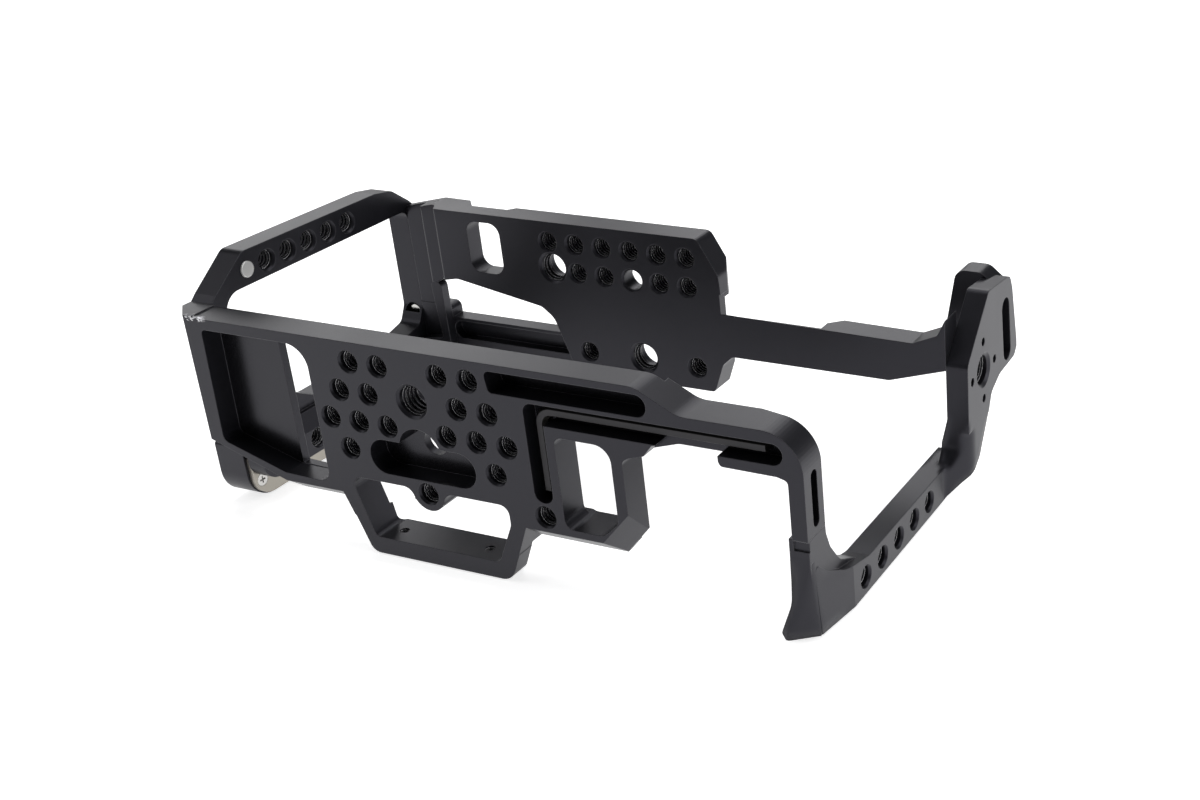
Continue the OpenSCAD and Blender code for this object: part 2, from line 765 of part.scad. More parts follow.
module grip_frame()
    color(black) placed()
        difference() {
            union() {
                claw();
                // strut foot with its inside curve into the beam
                slab_x(beam_in, strut_x)
                    polygon(outline([
                        [0.4, seam_z, 0], [strut_t, seam_z, 0], [strut_t + 0.1, -23.4, 2],
                        [12, -28.4, 6], [17, -35, 8], [28, beam_top, 8],
                        [60, beam_top, 0], [60, beam_low, 0], [4, beam_low, 0], [0.4, -30, 0]]));
                // beam
                slab_x(beam_in, beam_out)
                    polygon(outline([
                        [2.4, -28, 2], [7.8, -33.3, 6], [16, -37.4, 10], [30, beam_top, 8],
                        [wing_near + 8, beam_top, 0], [wing_near + 6, -43, 3],
                        [wing_near - 4, beam_low, 5], [4.4, beam_low, 0]]));
                // column up to the wing
                intersection() {
                    slab_x(beam_in, wing_out)
                        polygon(outline([
                            [80, beam_low, 0], [83, beam_low, 2], [88, -47, 3], [96.8, -41.4, 3],
                            [104.6, -30.4, 3], [107, -24.4, 1], [105, -20, 0], [wing_near, -20, 0],
                            [wing_near, -36, 4], [wing_near - 3, beam_top, 3], [80, beam_top, 0]]));
                    translate([0, 0, -60])
                        linear_extrude(60)
                            polygon(outline([
                                [strut_x, 80, 0], [beam_out, 80, 0], [beam_out, 83.4, 3],
                                [wing_out, 91.6, 5], [wing_out, 110, 0], [strut_x, 110, 0]]));
                    slab_y(70, 120)
                        polygon([[strut_x, -60], [strut_x, -34.5], [wing_x, -26.5], [wing_x, -10],
                            [wing_out + 1, -10], [wing_out + 1, -60]]);
                }
                // wing
                slab_x(wing_x, wing_out)
                    polygon(outline([
                        [wing_near, -8.6, 3], [106.6, 8.4, 2.5], [124.8, 6.8, 3], [126.8, 2.2, 4],
                        [wing_far, -16.4, 1.5], [wing_far, -18.8, 1],
                        [wing_far - 2.2, -21, 2], [115, -21.8, 6],
                        [107.8, -24.8, 4], [105, -30.4, 1], [wing_near, -30.4, 0]]));
                // hook behind the wing
                slab_y(118, 126)
                    polygon(outline([
                        [wing_out - 1, 4.4, 0], [wing_x, 9.3, 4], [113.4, 9.3, 3.6], [109.4, -10.8, 0],
                        [109.6, -14, 1.5], [wing_x + 1, -18, 0]]));
            }
            claw_bevel();
            beam_taper();
            for (i = [0 : 4])
                sunk_x([beam_out, first_beam_hole + i * beam_pitch, (beam_top + beam_low) / 2],
                    quarter_r, quarter_rim, 7 + skin);
            sunk_x([wing_out, wing_hole[0], wing_hole[1]],
                three_eighths_r, three_eighths_rim + 0.3, wing_t + skin);
            for (turn = [0 : 90 : 270])
                rod_x([wing_out - 5, wing_hole[0] + locator_r * cos(turn),
                    wing_hole[1] + locator_r * sin(turn)], 1.35, 5 + skin);
            // strap pocket of the wing
            slab_x(wing_out - 5, wing_out + skin)
                slot2([120.6, -2.2], [121.6, -16.6], 3.2);
            // groove across the near face below the seam
            translate([beam_in + 0.1, claw_near - skin, seam_z - 3.2])
                cube([5, -claw_near + skin + 0.9, 2.8]);
            strut_pin_holes();
            arm_pin_holes();
        }

// ---- front rail and its screws ----

rail_x1 = 6;
rail_lobe_x = frame_in + 12.6;              // grip side of the rail's raised end
rail_top = -20.7;
rail_low = -36;
rail_screw = [2.4, -25.2];                  // [x, z] of the screw into the top plate

module front_rail()
    color(black) placed()
        difference() {
            slab_y(top_out, rail_out)
                polygon(outline([
                    [frame_in, lobe_top, 0], [rail_lobe_x, lobe_top, 4.9], [rail_lobe_x, rail_top, 0],
                    [rail_x1, rail_top, 3], [rail_x1, rail_low, 3], [frame_in, rail_low, 0]]));
            slab_y(top_out - skin, top_out + 3.6)
                slot2([rail_lobe_x + 3.4, -25], [-14, -25], 3.2);
            rail_screw_hole();
            far_corner_holes();
            rod_y([stud_pos[0], top_out - skin, stud_pos[1]], stud_r + run_gap, rail_t + 2 * skin);
        }

module rail_screw_hole() {
    rod_y([rail_screw[0], top_y + 2.5, rail_screw[1]], 1.55, top_t + rail_t);
    rod_y([rail_screw[0], rail_out - 3.2, rail_screw[1]], 2.9, 3.2 + skin);
}

module rail_screws()
    color(dark_steel) placed()
        difference() {
            union() {
                rod_y([rail_screw[0], rail_out - 3.2, rail_screw[1]], 2.75, 3.0);
                rod_y([rail_screw[0], rail_out - 11, rail_screw[1]], 1.5, 8);
            }
            translate([rail_screw[0], rail_out - 1.8, rail_screw[1]])
                rotate([-90, 0, 0])
                    cylinder(h = 3, r = 1.45, $fn = 6);
        }

// ---- cable clamp on the front rail ----

stud_pos = [frame_in + 4.9, -31];                    // [x, z] of the clamp stud
stud_out = 3.2;                             // how far the stud stands out of the jaw
jaw_t = 3.4;
jaw_top = -6.8;                             // upper end of the jaw's lever
lever_end_r = 2.15;                         // rounding of that end
jaw_room_x = frame_in + 13.5;               // grip side of the jaw's room in the top plate
washer_t = 0.8;

module clamp_jaw()
    color(black) placed()
        difference() {
            slab_y(top_out - jaw_t, top_out)
                polygon(outline([
                    [frame_in + 0.9, -34.6, 3], [frame_in + 0.9, -28.6, 2],
                    [jaw_room_x - 3.6, -27.6, 1], [jaw_room_x - 5.4, jaw_top, lever_end_r],
                    [jaw_room_x - 1.1, jaw_top, lever_end_r], [jaw_room_x - 0.6, -34.6, 3]]));
            rod_y([stud_pos[0], top_out - jaw_t - skin, stud_pos[1]], stud_r + run_gap, jaw_t + 2 * skin);
        }

module clamp_stud()
    color(steel) placed()
        rod_y([stud_pos[0], top_out - jaw_t - stud_out, stud_pos[1]], stud_r,
            jaw_t + stud_out + rail_t + washer_t);

module clamp_washer()
    color(steel) placed()
        difference() {
            rod_y([stud_pos[0], rail_out, stud_pos[1]], 3.9, washer_t);
            rod_y([stud_pos[0], rail_out - skin, stud_pos[1]], stud_r + run_gap, washer_t + 2 * skin);
        }

module clamp_knob()
    color(black) placed()
        difference() {
            rod_y([stud_pos[0], rail_out + washer_t, stud_pos[1]], knob_r, knob_len);
            // grip flutes
            for (turn = [0 : 36 : 324])
                rod_y([stud_pos[0] + (knob_r + 0.5) * cos(turn), rail_out + washer_t + 1.2,
                    stud_pos[1] + (knob_r + 0.5) * sin(turn)], 1.1, knob_len);
            // coin slot
            translate([stud_pos[0], rail_out + washer_t + knob_len, stud_pos[1]])
                cube([knob_r * 1.3, 2.4, 1.4], center = true);
        }

base_plate();
top_plate();
side_frame();
grip_frame();
hex_key();
key_magnets();
frame_screw();
far_pin();
side_block();
wear_plate();
wear_plate_screws();
block_screws();
front_rail();
rail_screws();
clamp_jaw();
clamp_stud();
clamp_knob();
clamp_washer();
near_corner_pins();
far_corner_screws();
strut_pins();
arm_pins();
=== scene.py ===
"""Looks of a camera cage: satin black plates, cut threads, bright fittings and a pale studio."""
import json
import logging
import math
from dataclasses import dataclass, field, replace
from enum import Enum
from typing import Any, Optional, Union

import bpy
from mathutils import Matrix, Vector


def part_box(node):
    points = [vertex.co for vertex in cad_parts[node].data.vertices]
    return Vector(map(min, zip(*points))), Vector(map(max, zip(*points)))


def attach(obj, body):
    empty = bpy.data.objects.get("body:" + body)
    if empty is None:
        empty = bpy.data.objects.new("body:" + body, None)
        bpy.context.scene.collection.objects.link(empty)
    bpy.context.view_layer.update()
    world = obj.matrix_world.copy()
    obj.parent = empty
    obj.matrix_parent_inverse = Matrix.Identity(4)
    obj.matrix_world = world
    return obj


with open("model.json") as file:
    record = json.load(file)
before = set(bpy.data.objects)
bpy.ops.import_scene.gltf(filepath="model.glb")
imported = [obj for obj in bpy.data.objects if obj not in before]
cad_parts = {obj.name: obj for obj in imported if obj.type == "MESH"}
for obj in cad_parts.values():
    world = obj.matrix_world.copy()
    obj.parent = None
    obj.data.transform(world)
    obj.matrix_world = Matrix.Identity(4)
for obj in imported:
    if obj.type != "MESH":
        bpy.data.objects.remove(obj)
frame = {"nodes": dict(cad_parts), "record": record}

LOG = logging.getLogger("camera_cage")
MM = 0.001
Triple = tuple[float, float, float]
Colour = Triple
Span = tuple[float, float]
NEUTRAL: Colour = (1.0, 1.0, 1.0)
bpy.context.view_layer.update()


# ---- shader maths ----


class Value:
    """An output socket that takes part in Python expressions."""

    def __init__(self, graph: "Graph", socket: bpy.types.NodeSocket) -> None:
        """Wraps one output socket.

        Args:
            graph: The graph that the socket belongs to.
            socket: The output socket.
        """
        self.graph = graph
        self.socket = socket

    def _math(self, operation: str, first: Any, second: Any) -> "Value":
        """Adds a Math node on two operands."""
        return self.graph.add("ShaderNodeMath", {"operation": operation}, {0: first, 1: second})

    def __add__(self, other: Any) -> "Value":
        """Sum."""
        return self._math("ADD", self, other)

    __radd__ = __add__

    def __sub__(self, other: Any) -> "Value":
        """Difference."""
        return self._math("SUBTRACT", self, other)

    def __rsub__(self, other: Any) -> "Value":
        """Difference with this value as the second operand."""
        return self._math("SUBTRACT", other, self)

    def __mul__(self, other: Any) -> "Value":
        """Product."""
        return self._math("MULTIPLY", self, other)

    __rmul__ = __mul__

    def larger(self, other: Any) -> "Value":
        """The larger of two values."""
        return self._math("MAXIMUM", self, other)

    def smooth(self, low: float, high: float) -> "Value":
        """Smooth step from 0 at low to 1 at high.

        Args:
            low: Value that gives 0.
            high: Value that gives 1.

        Returns:
            The stepped value.
        """
        return self.graph.add("ShaderNodeMapRange", {"interpolation_type": "SMOOTHSTEP"},
                              {0: self, 1: low, 2: high})


class Graph:
    """Node tree of one material; every node comes from its add method."""

    def __init__(self, name: str) -> None:
        """Makes an empty material.

        Args:
            name: The material's name.
        """
        self.material = bpy.data.materials.new(name)
        self.material.use_nodes = True
        self.tree = self.material.node_tree
        self.tree.nodes.clear()

    def add(self, kind: str, settings: Optional[dict[str, Any]] = None,
            inputs: Optional[dict[Union[int, str], Any]] = None,
            output: Union[int, str] = 0) -> Value:
        """Adds a node.

        Args:
            kind: The node's type.
            settings: Properties of the node, set first.
            inputs: Values or links of its sockets, by index or name.
            output: The output that is handed back.

        Returns:
            The chosen output.
        """
        node = self.tree.nodes.new(kind)
        for key, setting in (settings or {}).items():
            setattr(node, key, setting)
        for key, entry in (inputs or {}).items():
            if isinstance(entry, Value):
                self.tree.links.new(entry.socket, node.inputs[key])
            else:
                node.inputs[key].default_value = entry
        return Value(self, node.outputs[output])

    def noise(self, place: Value, grain_mm: float, detail: float,
              stretch: Triple = (1.0, 1.0, 1.0)) -> Value:
        """Noise whose patches are grain_mm wide.

        Args:
            place: The coordinates.
            grain_mm: Width of a patch in millimetres.
            detail: Number of finer layers.
            stretch: How much denser the pattern is along each axis.

        Returns:
            The noise, about 0.5 on average.
        """
        turned = self.add("ShaderNodeMapping", {}, {"Vector": place, "Scale": stretch})
        return self.add("ShaderNodeTexNoise", {},
                        {"Vector": turned, "Scale": 1.0 / (grain_mm * MM), "Detail": detail})

    def distance(self, place: Value, centre: Triple) -> Value:
        """Distance of a point from a centre, in metres."""
        return self.add("ShaderNodeVectorMath", {"operation": "DISTANCE"},
                        {0: place, 1: centre}, output="Value")

    def dot(self, first: Any, second: Any) -> Value:
        """Dot product of two directions."""
        return self.add("ShaderNodeVectorMath", {"operation": "DOT_PRODUCT"},
                        {0: first, 1: second}, output="Value")

    def rounded(self, radius_mm: float, samples: int) -> Value:
        """Direction of the surface with its edges rounded."""
        return self.add("ShaderNodeBevel", {"samples": samples}, {"Radius": radius_mm * MM})

    def blend(self, factor: Value, first: Any, second: Any) -> Value:
        """Colour that goes from first to second."""
        return self.add("ShaderNodeMix", {"data_type": "RGBA"}, {0: factor, 6: first, 7: second},
                        output=2)

    def close(self, shader: Value) -> bpy.types.Material:
        """Links the surface shader to the output.

        Args:
            shader: The surface shader.

        Returns:
            The finished material.
        """
        end = self.tree.nodes.new("ShaderNodeOutputMaterial")
        self.tree.links.new(shader.socket, end.inputs["Surface"])
        return self.material


def opaque(colour: Colour) -> tuple[float, float, float, float]:
    """The colour with full alpha."""
    return (*colour, 1.0)


# ---- finishes ----


class Lay(Enum):
    """Direction of the fine marks of a surface."""

    BLASTED = (1.0, 1.0, 1.0)
    DRAWN_X = (0.06, 1.0, 1.0)
    DRAWN_Y = (1.0, 0.06, 1.0)


@dataclass(frozen=True)
class Scuff:
    """A rubbed place along X on an edge: its centre in metres and its reach in millimetres."""

    centre: Triple
    reach_mm: float
    narrow: Triple = (1.0, 2.0, 6.0)
    core: float = 0.5
    chip_mm: float = 0.7
    chip_stretch: Triple = (0.6, 1.0, 1.4)
    chip_span: Span = (0.5, 0.58)

    def share(self, graph: Graph, place: Value) -> Value:
        """How far a point is rubbed bare.

        Args:
            graph: The material's nodes.
            place: The coordinates.

        Returns:
            1 on a chip near the centre and 0 beyond the reach.
        """
        squeezed = graph.add("ShaderNodeVectorMath", {"operation": "MULTIPLY"},
                             {0: place, 1: self.narrow}, output="Vector")
        middle = tuple(part * scale for part, scale in zip(self.centre, self.narrow))
        away = graph.distance(squeezed, middle)
        near = 1.0 - away.smooth(self.core * self.reach_mm * MM, self.reach_mm * MM)
        chips = graph.noise(place, self.chip_mm, 3.0, self.chip_stretch)
        return near * chips.smooth(*self.chip_span)


@dataclass(frozen=True)
class PaintedPocketShade:
    """Floors of milled pockets: smoother than the outer face, and darkened as painted shade."""

    facing: Triple
    start_mm: float
    full_mm: float
    # Painted shade: the dark colour laid on the pocket floors.
    colour: Colour = (0.003, 0.003, 0.0035)
    smoother: float = 0.12
    level: Span = (0.8, 0.95)

    def share(self, graph: Graph, place: Value, flat: Value) -> Value:
        """How far a point lies on the floor of a pocket.

        Args:
            graph: The material's nodes.
            place: The coordinates.
            flat: The face's own direction.

        Returns:
            1 on a pocket's floor and 0 elsewhere.
        """
        depth = graph.dot(place, self.facing) * -1.0
        inside = depth.smooth(self.start_mm * MM, self.full_mm * MM)
        return graph.dot(flat, self.facing).smooth(*self.level) * inside


@dataclass(frozen=True)
class Blend:
    """A place whose creases are rounded more broadly: its centre in metres, reach and radius."""

    centre: Triple
    reach_mm: float
    radius_mm: float
    core: float = 0.6

    def share(self, graph: Graph, place: Value) -> Value:
        """How much of the broad rounding a point has.

        Args:
            graph: The material's nodes.
            place: The coordinates.

        Returns:
            1 at the centre and 0 beyond the reach.
        """
        away = graph.distance(place, self.centre)
        return 1.0 - away.smooth(self.core * self.reach_mm * MM, self.reach_mm * MM)


@dataclass(frozen=True)
class MetalFinish:
    """A metal surface with grain, soft edges, painted edge highlights, edge wear and slow colour
    changes.
    """

    name: str
    slot: str
    colour: Colour
    bare: Colour
    metallic: float = 0.0
    roughness: float = 0.4
    spread: float = 0.12
    specular: float = 0.5
    tint: Colour = (0.87, 0.855, 1.0)
    grain_mm: float = 0.25
    depth_mm: float = 0.004
    edge_mm: float = 0.35
    # The next two values set a painted highlight: how strongly and how far edges are lightened
    # towards the bare colour.
    edge_highlight: float = 0.5
    highlight_share: float = 0.16
    crease: Span = (0.005, 0.16)
    wear: float = 0.1
    wear_span: Span = (0.72, 0.82)
    cloud_mm: float = 28.0
    cloud_span: Span = (0.3, 0.7)
    cloud_depth: float = 0.8
    cloud_rough: float = 0.1
    patch_mm: float = 2.2
    edge_polish: float = 0.06
    bare_metal: float = 0.3
    lay: Lay = Lay.BLASTED
    scuffs: tuple[Scuff, ...] = ()
    blends: tuple[Blend, ...] = ()
    painted_pocket_shade: Optional[PaintedPocketShade] = None

    def softened(self, graph: Graph, place: Value, rounded: Value) -> Value:
        """The surface's direction with broad blends where the finish has them.

        Args:
            graph: The material's nodes.
            place: The coordinates.
            rounded: The direction with the finish's usual edge rounding.

        Returns:
            The direction.
        """
        softened = rounded
        for blend in self.blends:
            broad = graph.rounded(blend.radius_mm, 12)
            softened = graph.add("ShaderNodeMix", {"data_type": "VECTOR"},
                                 {0: blend.share(graph, place), 4: softened, 5: broad}, output=1)
        return softened

    def creases(self, graph: Graph, place: Value, rounded: Value, flat: Value) -> Value:
        """How near a point is to a sharp edge, outside the broad blends.

        Args:
            graph: The material's nodes.
            place: The coordinates.
            rounded: The direction with edges rounded.
            flat: The face's own direction.

        Returns:
            1 on an edge and 0 on open faces.
        """
        edge = (1.0 - graph.dot(rounded, flat)).smooth(*self.crease)
        for blend in self.blends:
            edge = edge * (1.0 - blend.share(graph, place))
        return edge

    def bared(self, graph: Graph, place: Value, edge: Value) -> Value:
        """How far a point is rubbed down to bare metal.

        Args:
            graph: The material's nodes.
            place: The coordinates.
            edge: How near the point is to an edge.

        Returns:
            1 on bare metal and 0 on the whole coat.
        """
        patch = graph.noise(place, self.patch_mm, 4.0)
        rubbed = edge * patch.smooth(*(bound - self.wear for bound in self.wear_span))
        for scuff in self.scuffs:
            rubbed = rubbed.larger(scuff.share(graph, place))
        return rubbed

    def material(self) -> bpy.types.Material:
        """Builds the material from its colour, roughness and direction.

        Returns:
            The finished material.
        """
        graph = Graph(self.name)
        place = graph.add("ShaderNodeTexCoord", output="Object")
        grain = graph.noise(place, self.grain_mm, 3.0, self.lay.value)
        cloud = graph.noise(place, self.cloud_mm, 3.0)
        rounded = graph.rounded(self.edge_mm, 6)
        flat = graph.add("ShaderNodeNewGeometry", output="Normal")
        edge = self.creases(graph, place, rounded, flat)
        rubbed = self.bared(graph, place, edge)
        deep = tuple(self.cloud_depth * part for part in self.colour)
        body = graph.blend(cloud.smooth(*self.cloud_span), opaque(deep), opaque(self.colour))
        rough = ((grain - 0.5) * self.spread + (cloud - 0.5) * self.cloud_rough
                 + self.roughness - edge * self.edge_polish)
        if self.painted_pocket_shade is not None:
            # Painted shade: pocket floors are darkened and made smoother.
            pocket = self.painted_pocket_shade.share(graph, place, flat)
            body = graph.blend(pocket, body, opaque(self.painted_pocket_shade.colour))
            rough = rough - pocket * self.painted_pocket_shade.smoother
        # Painted highlight: edges are lightened towards the bare colour to stand in for the
        # light caught by small chamfers.
        pale = tuple(part + self.highlight_share * (bright - part)
                     for part, bright in zip(self.colour, self.bare))
        soft = graph.blend(edge * self.edge_highlight, body, opaque(pale))
        normal = graph.add("ShaderNodeBump", {}, {
            "Strength": 1.0, "Distance": self.depth_mm * MM, "Height": grain,
            "Normal": self.softened(graph, place, rounded)})
        metal = rubbed * (self.bare_metal * (1.0 - self.metallic)) + self.metallic
        shader = graph.add("ShaderNodeBsdfPrincipled", {}, {
            "Base Color": graph.blend(rubbed, soft, opaque(self.bare)), "Metallic": metal,
            "Roughness": rough, "Specular IOR Level": self.specular,
            "Specular Tint": opaque(self.tint), "Normal": normal})
        return graph.close(shader)


class Coat(Enum):
    """The finishes of the cage."""

    ANODISED = "satin black anodised plate"
    MILLED = "satin black anodised plate with smooth pockets"
    FORGED = "satin black anodised grip frame"
    THREAD = "anodised thread"
    OXIDE = "black oxide steel"
    STAINLESS = "stainless steel"
    POLISHED = "stainless screw end with painted sheen"
    NICKEL = "nickel plate"
    MAGNET = "plated magnet"


class Finishes:
    """Makes each finish once and puts it on pieces."""

    def __init__(self) -> None:
        """Builds the materials."""
        low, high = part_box("base_plate")
        scuff = Scuff((low[0] + 9.2 * MM, low[1], high[2] - 0.6 * MM), reach_mm=6.0)
        pockets = PaintedPocketShade((0.0, -1.0, 0.0), low[1] / MM + 2.0, low[1] / MM + 4.0)
        claw = Blend((high[0] - 7 * MM, low[1] + 3 * MM, low[2] + 9 * MM), 18.0, 5.0)
        elbow = Blend((high[0] + 2 * MM, low[1] + 93 * MM, low[2] + 14 * MM), 15.0, 3.2)
        # These anodised finishes lighten their edges as a painted highlight; the grip frame's is
        # the strongest.
        plate = MetalFinish(
            "black_anodised_plate", "black_anodised", (0.009, 0.009, 0.011), (0.5, 0.5, 0.52),
            roughness=0.36, specular=0.35, edge_highlight=0.7, wear=0.02)
        self.kinds: dict[Coat, MetalFinish] = {
            Coat.ANODISED: plate,
            Coat.MILLED: replace(
                plate, name="black_anodised_shaded_pockets", bare=(0.78, 0.78, 0.8), edge_mm=0.3,
                highlight_share=0.1, wear=-0.02, scuffs=(scuff,), painted_pocket_shade=pockets),
            Coat.FORGED: replace(
                plate, name="black_anodised_grip", edge_mm=0.4, edge_highlight=0.9, wear=0.0,
                blends=(claw, elbow)),
            # Painted highlight and painted shade: thread crests are lightened almost to white
            # and the flanks are darker than the plate black.
            Coat.THREAD: MetalFinish(
                "black_anodised_thread", "black_anodised", (0.002, 0.002, 0.002),
                (0.95, 0.95, 0.97), roughness=0.45, spread=0.06, specular=0.15, grain_mm=0.12,
                depth_mm=0.001, edge_mm=0.28, edge_highlight=1.0, highlight_share=1.0, wear=-0.1),
            Coat.OXIDE: MetalFinish(
                "black_oxide_steel", "black_oxide", (0.02, 0.0195, 0.016), (0.22, 0.21, 0.19),
                metallic=0.3, roughness=0.4, grain_mm=0.16, edge_mm=0.2, wear=0.12,
                lay=Lay.DRAWN_X),
            Coat.STAINLESS: MetalFinish(
                "bright_stainless", "stainless", (0.62, 0.61, 0.59), (0.8, 0.8, 0.79),
                metallic=1.0, roughness=0.24, spread=0.08, tint=NEUTRAL, grain_mm=0.1,
                depth_mm=0.0006, edge_mm=0.2, wear=0.15, lay=Lay.DRAWN_Y),
            # Painted reflection: the stainless screw end is made half diffuse and pale so it
            # stays bright where a mirror-like end would reflect dark surroundings.
            Coat.POLISHED: MetalFinish(
                "screw_end_painted_sheen", "stainless", (0.78, 0.78, 0.77), (0.85, 0.85, 0.84),
                metallic=0.5, roughness=0.3, spread=0.03, tint=NEUTRAL, grain_mm=0.3,
                depth_mm=0.0003, edge_mm=0.7, wear=0.0),
            Coat.NICKEL: MetalFinish(
                "warm_nickel_plate", "nickel", (0.4, 0.375, 0.33), (0.7, 0.68, 0.64),
                metallic=0.85, roughness=0.4, tint=NEUTRAL, grain_mm=0.2, edge_mm=0.3,
                wear=0.1, lay=Lay.DRAWN_Y),
            Coat.MAGNET: MetalFinish(
                "plated_magnet", "magnet", (0.6, 0.6, 0.62), (0.8, 0.8, 0.82),
                metallic=1.0, roughness=0.18, spread=0.05, tint=NEUTRAL, grain_mm=0.3,
                depth_mm=0.0006, edge_mm=0.25)}
        self.materials = {coat: kind.material() for coat, kind in self.kinds.items()}

    def on_node(self, node: str, coat: Coat) -> None:
        """Puts a finish on a CAD node.

        Args:
            node: The node's name.
            coat: The finish.
        """
        shown = frame["nodes"][node]
        if not shown.material_slots:
            shown.data.materials.append(self.materials[coat])
        for place in shown.material_slots:
            place.material = self.materials[coat]
        LOG.info("node %s: %s", node, coat.value)

    def on_piece(self, piece: bpy.types.Object, coat: Coat) -> None:
        """Puts a finish on a new piece.

        Args:
            piece: The piece.
            coat: The finish.
        """
        piece.data.materials.clear()
        piece.data.materials.append(self.materials[coat])
        LOG.info("piece %s: %s", piece.name, coat.value)


# ---- modelling by operators ----


def deselect() -> None:
    """Leaves object mode ready with nothing selected."""
    if bpy.context.object is not None and bpy.context.object.mode != "OBJECT":
        bpy.ops.object.mode_set(mode="OBJECT")
    bpy.ops.object.select_all(action="DESELECT")


def select_corners(piece: bpy.types.Object, low_x: float) -> None:
    """Selects, in edit mode, the corners of a piece left of low_x.

    Args:
        piece: The piece, in edit mode.
        low_x: The largest X of a selected corner.
    """
    bpy.ops.mesh.select_all(action="DESELECT")
    bpy.ops.object.mode_set(mode="OBJECT")
    for corner in piece.data.vertices:
        corner.select = corner.co.x < low_x
    bpy.ops.object.mode_set(mode="EDIT")


@dataclass(frozen=True)
class ThreadForm:
    """Shape of a cut thread.

    The ridge is root_share of a pitch wide at the wall, where it is sunk in by sunk_mm, and
    crest_share of that at its crest. A turn has that many steps.
    """

    pitch_mm: float
    depth_mm: float
    steps: int = 28
    sunk_mm: float = 0.04
    root_share: float = 0.86
    crest_share: float = 0.14
    end_share: float = 0.9
    weld: float = 1e-7

    def bead(self, bore: float, length: float) -> bpy.types.Object:
        """Models the thread's ridge as a helix along +Z that starts at the origin.

        Args:
            bore: Radius of the hole's wall in metres.
            length: Length of the threaded wall in metres.

        Returns:
            The ridge.
        """
        pitch, depth, sunk = self.pitch_mm * MM, self.depth_mm * MM, self.sunk_mm * MM
        turns = max(2, int(length / pitch) - 1)
        start = (length - (turns + self.end_share) * pitch) / 2
        middle = Vector((bore + (sunk - depth) / 2, 0.0, start + self.end_share * pitch / 2))
        deselect()
        bpy.ops.mesh.primitive_plane_add(size=1.0, location=middle, rotation=(math.pi / 2, 0, 0))
        ridge = bpy.context.object
        bpy.ops.object.transform_apply(location=True, rotation=True, scale=True)
        bpy.ops.object.mode_set(mode="EDIT")
        bpy.ops.mesh.select_all(action="SELECT")
        bpy.ops.transform.resize(value=(depth + sunk, 1.0, self.root_share * pitch),
                                 center_override=middle)
        select_corners(ridge, middle.x)
        crest = Vector((middle.x - (depth + sunk) / 2, 0.0, middle.z))
        bpy.ops.transform.resize(value=(1.0, 1.0, self.crest_share), center_override=crest)
        bpy.ops.mesh.select_all(action="SELECT")
        bpy.ops.mesh.delete(type="ONLY_FACE")
        bpy.ops.object.mode_set(mode="OBJECT")
        sweep = ridge.modifiers.new("turns", "SCREW")
        sweep.axis = "Z"
        sweep.angle = 2 * math.pi
        sweep.screw_offset = pitch
        sweep.iterations = turns
        sweep.steps = self.steps
        sweep.render_steps = self.steps
        bpy.ops.object.modifier_apply(modifier=sweep.name)
        bpy.ops.object.mode_set(mode="EDIT")
        bpy.ops.mesh.select_all(action="SELECT")
        bpy.ops.mesh.remove_doubles(threshold=self.weld)
        bpy.ops.mesh.fill_holes(sides=4)
        bpy.ops.mesh.normals_make_consistent(inside=False)
        bpy.ops.object.mode_set(mode="OBJECT")
        return ridge


QUARTER = ThreadForm(pitch_mm=1.27, depth_mm=0.46)
THREE_EIGHTHS = ThreadForm(pitch_mm=1.5875, depth_mm=0.6, steps=36)
FINE = ThreadForm(pitch_mm=0.6, depth_mm=0.2, steps=18)


def mount_named(name: str) -> dict[str, Any]:
    """The record's mount of that name."""
    return next(entry for entry in frame["record"]["mounts"] if entry["name"] == name)


def hole_places(mount: dict[str, Any]) -> list[Vector]:
    """Centres of a mount's holes.

    Args:
        mount: A single hole, or a pattern of two or four.

    Returns:
        One point for each hole, in metres.
    """
    centre, dims = Vector(mount["pos_m"]), mount["dims"]
    along = max(range(3), key=lambda axis: abs(mount["axis"][axis]))
    first, second = [axis for axis in range(3) if axis != along]
    half_first = dims.get("spacing_x_mm", 0.0) * MM / 2
    half_second = dims.get("spacing_y_mm", 0.0) * MM / 2
    places = []
    for side_first in (-1, 1) if half_first else (0,):
        for side_second in (-1, 1) if half_second else (0,):
            point = centre.copy()
            point[first] += side_first * half_first
            point[second] += side_second * half_second
            places.append(point)
    return places


